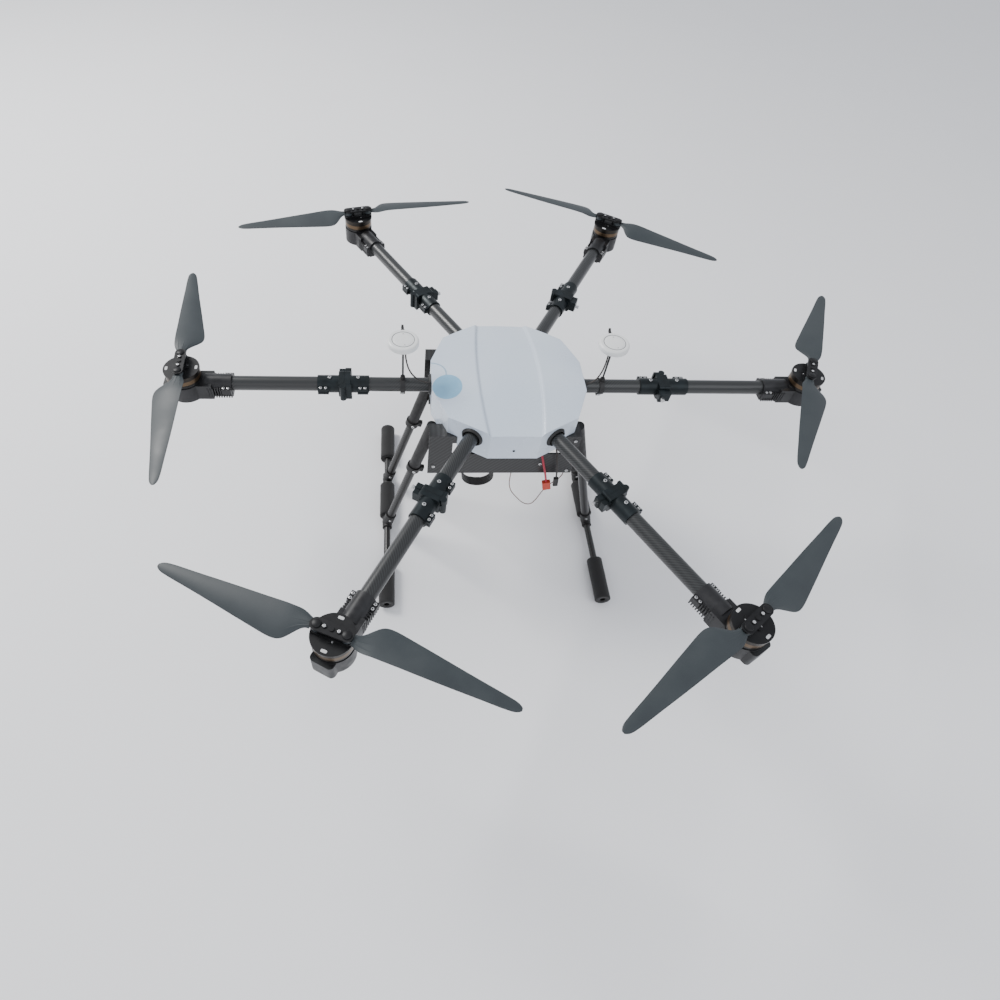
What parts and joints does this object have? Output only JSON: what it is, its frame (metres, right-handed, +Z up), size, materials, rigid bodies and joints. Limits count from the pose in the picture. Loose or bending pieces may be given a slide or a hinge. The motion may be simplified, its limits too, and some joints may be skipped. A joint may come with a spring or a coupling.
{
  "type": "hexacopter drone",
  "caption": "Folding multirotor airframe with radial tube arms, two-blade folding propellers, a domed cowl, skid landing gear and paired satellite receivers.",
  "frame": {"origin": "middle of the hexagon of motors, on the underside of the battery tray, at the payload bolts", "axes": "+Z up, +Y to the rear of the aircraft, +X to the right as seen from the front cable window side"},
  "size_m": [1.5019, 1.4511, 0.5624],
  "materials": {
    "cowl_shell": "glossy pale blue-white moulded shell",
    "soft_rubber": "matte black rubber",
    "carbon_sheet": "black carbon-fibre sheet, satin",
    "black_anodised": "black anodised, satin",
    "blue_black_anodised": "blue-black anodised, satin",
    "bright_steel": "bright",
    "circuit_board": "green circuit board",
    "controller_case": "dark grey moulding",
    "strap_webbing": "black woven webbing",
    "carbon_tube": "woven carbon fibre, satin lacquer",
    "moulded_black": "black moulding",
    "foam_rubber": "black closed-cell foam",
    "white_plastic": "white moulding",
    "black_insulation": "black cable sheath",
    "red_insulation": "red silicone sheath",
    "brown_insulation": "thin brown sheath",
    "orange_plug": "orange-red moulded plug",
    "black_plug": "black moulded plug",
    "motor_bronze": "dark bronze-black anodised, satin",
    "blade_polymer": "dark slate carbon-nylon, matte"
  },
  "bodies": {
    "airframe": {"cowl": "cowl_shell", "arm_grommets": "soft_rubber", "centre_plates": "carbon_sheet", "root_clamps": "black_anodised", "frame_bolts": "bright_steel", "power_board": "circuit_board", "flight_controller": "controller_case", "battery_bay": "carbon_sheet", "battery_strap": "strap_webbing", "inner_tubes": "carbon_tube", "fold_halves_inner": "blue_black_anodised", "leg_sockets": "moulded_black", "landing_tubes": "carbon_tube", "skid_tees": "moulded_black", "foam_sleeves": "foam_rubber", "gps_masts": "moulded_black", "gps_pucks": "white_plastic", "gps_cable_left": "black_insulation", "gps_cable_right": "black_insulation", "power_lead": "red_insulation", "power_plug": "orange_plug", "balance_lead": "black_insulation", "balance_plug": "black_plug", "signal_wire": "brown_insulation"},
    "arm_right": {"outer_arm_right": "blue_black_anodised", "motor_mount_right": "black_anodised"},
    "rotor_body_right": {"rotor_right": "motor_bronze"},
    "blade_body_a_right": {"blade_a_right": "blade_polymer"},
    "blade_body_b_right": {"blade_b_right": "blade_polymer"},
    "lock_body_right": {"lock_pin_right": "bright_steel"},
    "arm_back_right": {"outer_arm_back_right": "blue_black_anodised", "motor_mount_back_right": "black_anodised"},
    "rotor_body_back_right": {"rotor_back_right": "motor_bronze"},
    "blade_body_a_back_right": {"blade_a_back_right": "blade_polymer"},
    "blade_body_b_back_right": {"blade_b_back_right": "blade_polymer"},
    "lock_body_back_right": {"lock_pin_back_right": "bright_steel"},
    "arm_back_left": {"outer_arm_back_left": "blue_black_anodised", "motor_mount_back_left": "black_anodised"},
    "rotor_body_back_left": {"rotor_back_left": "motor_bronze"},
    "blade_body_a_back_left": {"blade_a_back_left": "blade_polymer"},
    "blade_body_b_back_left": {"blade_b_back_left": "blade_polymer"},
    "lock_body_back_left": {"lock_pin_back_left": "bright_steel"},
    "arm_left": {"outer_arm_left": "blue_black_anodised", "motor_mount_left": "black_anodised"},
    "rotor_body_left": {"rotor_left": "motor_bronze"},
    "blade_body_a_left": {"blade_a_left": "blade_polymer"},
    "blade_body_b_left": {"blade_b_left": "blade_polymer"},
    "lock_body_left": {"lock_pin_left": "bright_steel"},
    "arm_front_left": {"outer_arm_front_left": "blue_black_anodised", "motor_mount_front_left": "black_anodised"},
    "rotor_body_front_left": {"rotor_front_left": "motor_bronze"},
    "blade_body_a_front_left": {"blade_a_front_left": "blade_polymer"},
    "blade_body_b_front_left": {"blade_b_front_left": "blade_polymer"},
    "lock_body_front_left": {"lock_pin_front_left": "bright_steel"},
    "arm_front_right": {"outer_arm_front_right": "blue_black_anodised", "motor_mount_front_right": "black_anodised"},
    "rotor_body_front_right": {"rotor_front_right": "motor_bronze"},
    "blade_body_a_front_right": {"blade_a_front_right": "blade_polymer"},
    "blade_body_b_front_right": {"blade_b_front_right": "blade_polymer"},
    "lock_body_front_right": {"lock_pin_front_right": "bright_steel"}
  },
  "joints": [
    {"name": "fold_right", "type": "hinge", "parent": "airframe", "child": "arm_right", "pos_m": [0.343, 0.025, 0.137], "axis": [0, 0, 1], "range_deg": [0, 105]},
    {"name": "spin_right", "type": "hinge", "parent": "arm_right", "child": "rotor_body_right", "pos_m": [0.66, 0, 0.178], "axis": [0, 0, 1], "continuous": true},
    {"name": "blade_a_fold_right", "type": "hinge", "parent": "rotor_body_right", "child": "blade_body_a_right", "pos_m": [0.67121, 0.02234, 0.188], "axis": [0, 0, -1], "range_deg": [-75, 75]},
    {"name": "blade_b_fold_right", "type": "hinge", "parent": "rotor_body_right", "child": "blade_body_b_right", "pos_m": [0.64879, -0.02234, 0.188], "axis": [0, 0, 1], "range_deg": [-75, 75]},
    {"name": "lock_pull_right", "type": "slide", "parent": "airframe", "child": "lock_body_right", "axis": [0, -1, 0], "range_m": [0, 0.006], "stiffness_N_per_m": 400, "springref_m": -0.004},
    {"name": "fold_back_right", "type": "hinge", "parent": "airframe", "child": "arm_back_right", "pos_m": [0.14985, 0.30955, 0.137], "axis": [0, 0, 1], "range_deg": [0, 105]},
    {"name": "spin_back_right", "type": "hinge", "parent": "arm_back_right", "child": "rotor_body_back_right", "pos_m": [0.33, 0.57158, 0.178], "axis": [0, 0, 1], "continuous": true},
    {"name": "blade_a_fold_back_right", "type": "hinge", "parent": "rotor_body_back_right", "child": "blade_body_a_back_right", "pos_m": [0.30874, 0.58473, 0.188], "axis": [0, 0, -1], "range_deg": [-75, 75]},
    {"name": "blade_b_fold_back_right", "type": "hinge", "parent": "rotor_body_back_right", "child": "blade_body_b_back_right", "pos_m": [0.35126, 0.55842, 0.188], "axis": [0, 0, 1], "range_deg": [-75, 75]},
    {"name": "lock_pull_back_right", "type": "slide", "parent": "airframe", "child": "lock_body_back_right", "axis": [0.866, -0.5, 0], "range_m": [0, 0.006], "stiffness_N_per_m": 400, "springref_m": -0.004},
    {"name": "fold_back_left", "type": "hinge", "parent": "airframe", "child": "arm_back_left", "pos_m": [-0.19315, 0.28455, 0.137], "axis": [0, 0, 1], "range_deg": [0, 105]},
    {"name": "spin_back_left", "type": "hinge", "parent": "arm_back_left", "child": "rotor_body_back_left", "pos_m": [-0.33, 0.57158, 0.178], "axis": [0, 0, 1], "continuous": true},
    {"name": "blade_a_fold_back_left", "type": "hinge", "parent": "rotor_body_back_left", "child": "blade_body_a_back_left", "pos_m": [-0.30586, 0.57809, 0.188], "axis": [0, 0, 1], "range_deg": [-75, 75]},
    {"name": "blade_b_fold_back_left", "type": "hinge", "parent": "rotor_body_back_left", "child": "blade_body_b_back_left", "pos_m": [-0.35414, 0.56506, 0.188], "axis": [0, 0, -1], "range_deg": [-75, 75]},
    {"name": "lock_pull_back_left", "type": "slide", "parent": "airframe", "child": "lock_body_back_left", "axis": [0.866, 0.5, 0], "range_m": [0, 0.006], "stiffness_N_per_m": 400, "springref_m": -0.004},
    {"name": "fold_left", "type": "hinge", "parent": "airframe", "child": "arm_left", "pos_m": [-0.343, -0.025, 0.137], "axis": [0, 0, 1], "range_deg": [0, 105]},
    {"name": "spin_left", "type": "hinge", "parent": "arm_left", "child": "rotor_body_left", "pos_m": [-0.66, 0, 0.178], "axis": [0, 0, 1], "continuous": true},
    {"name": "blade_a_fold_left", "type": "hinge", "parent": "rotor_body_left", "child": "blade_body_a_left", "pos_m": [-0.66166, 0.02494, 0.188], "axis": [0, 0, 1], "range_deg": [-75, 75]},
    {"name": "blade_b_fold_left", "type": "hinge", "parent": "rotor_body_left", "child": "blade_body_b_left", "pos_m": [-0.65834, -0.02494, 0.188], "axis": [0, 0, -1], "range_deg": [-75, 75]},
    {"name": "lock_pull_left", "type": "slide", "parent": "airframe", "child": "lock_body_left", "axis": [0, 1, 0], "range_m": [0, 0.006], "stiffness_N_per_m": 400, "springref_m": -0.004},
    {"name": "fold_front_left", "type": "hinge", "parent": "airframe", "child": "arm_front_left", "pos_m": [-0.14985, -0.30955, 0.137], "axis": [0, 0, 1], "range_deg": [0, 105]},
    {"name": "spin_front_left", "type": "hinge", "parent": "arm_front_left", "child": "rotor_body_front_left", "pos_m": [-0.33, -0.57158, 0.178], "axis": [0, 0, 1], "continuous": true},
    {"name": "blade_a_fold_front_left", "type": "hinge", "parent": "rotor_body_front_left", "child": "blade_body_a_front_left", "pos_m": [-0.35289, -0.56153, 0.188], "axis": [0, 0, 1], "range_deg": [-75, 75]},
    {"name": "blade_b_fold_front_left", "type": "hinge", "parent": "rotor_body_front_left", "child": "blade_body_b_front_left", "pos_m": [-0.30711, -0.58162, 0.188], "axis": [0, 0, -1], "range_deg": [-75, 75]},
    {"name": "lock_pull_front_left", "type": "slide", "parent": "airframe", "child": "lock_body_front_left", "axis": [-0.866, 0.5, 0], "range_m": [0, 0.006], "stiffness_N_per_m": 400, "springref_m": -0.004},
    {"name": "fold_front_right", "type": "hinge", "parent": "airframe", "child": "arm_front_right", "pos_m": [0.19315, -0.28455, 0.137], "axis": [0, 0, 1], "range_deg": [0, 105]},
    {"name": "spin_front_right", "type": "hinge", "parent": "arm_front_right", "child": "rotor_body_front_right", "pos_m": [0.33, -0.57158, 0.178], "axis": [0, 0, 1], "continuous": true},
    {"name": "blade_a_fold_front_right", "type": "hinge", "parent": "rotor_body_front_right", "child": "blade_body_a_front_right", "pos_m": [0.3502, -0.55685, 0.188], "axis": [0, 0, -1], "range_deg": [-75, 75]},
    {"name": "blade_b_fold_front_right", "type": "hinge", "parent": "rotor_body_front_right", "child": "blade_body_b_front_right", "pos_m": [0.3098, -0.58631, 0.188], "axis": [0, 0, 1], "range_deg": [-75, 75]},
    {"name": "lock_pull_front_right", "type": "slide", "parent": "airframe", "child": "lock_body_front_right", "axis": [-0.866, -0.5, 0], "range_m": [0, 0.006], "stiffness_N_per_m": 400, "springref_m": -0.004}
  ],
  "couplings": [
    {"joint": "fold_right", "follows": "fold_front_left", "ratio": 1},
    {"joint": "fold_back_right", "follows": "fold_front_left", "ratio": 1},
    {"joint": "fold_back_left", "follows": "fold_front_left", "ratio": 1},
    {"joint": "fold_left", "follows": "fold_front_left", "ratio": 1},
    {"joint": "fold_front_right", "follows": "fold_front_left", "ratio": 1}
  ]
}
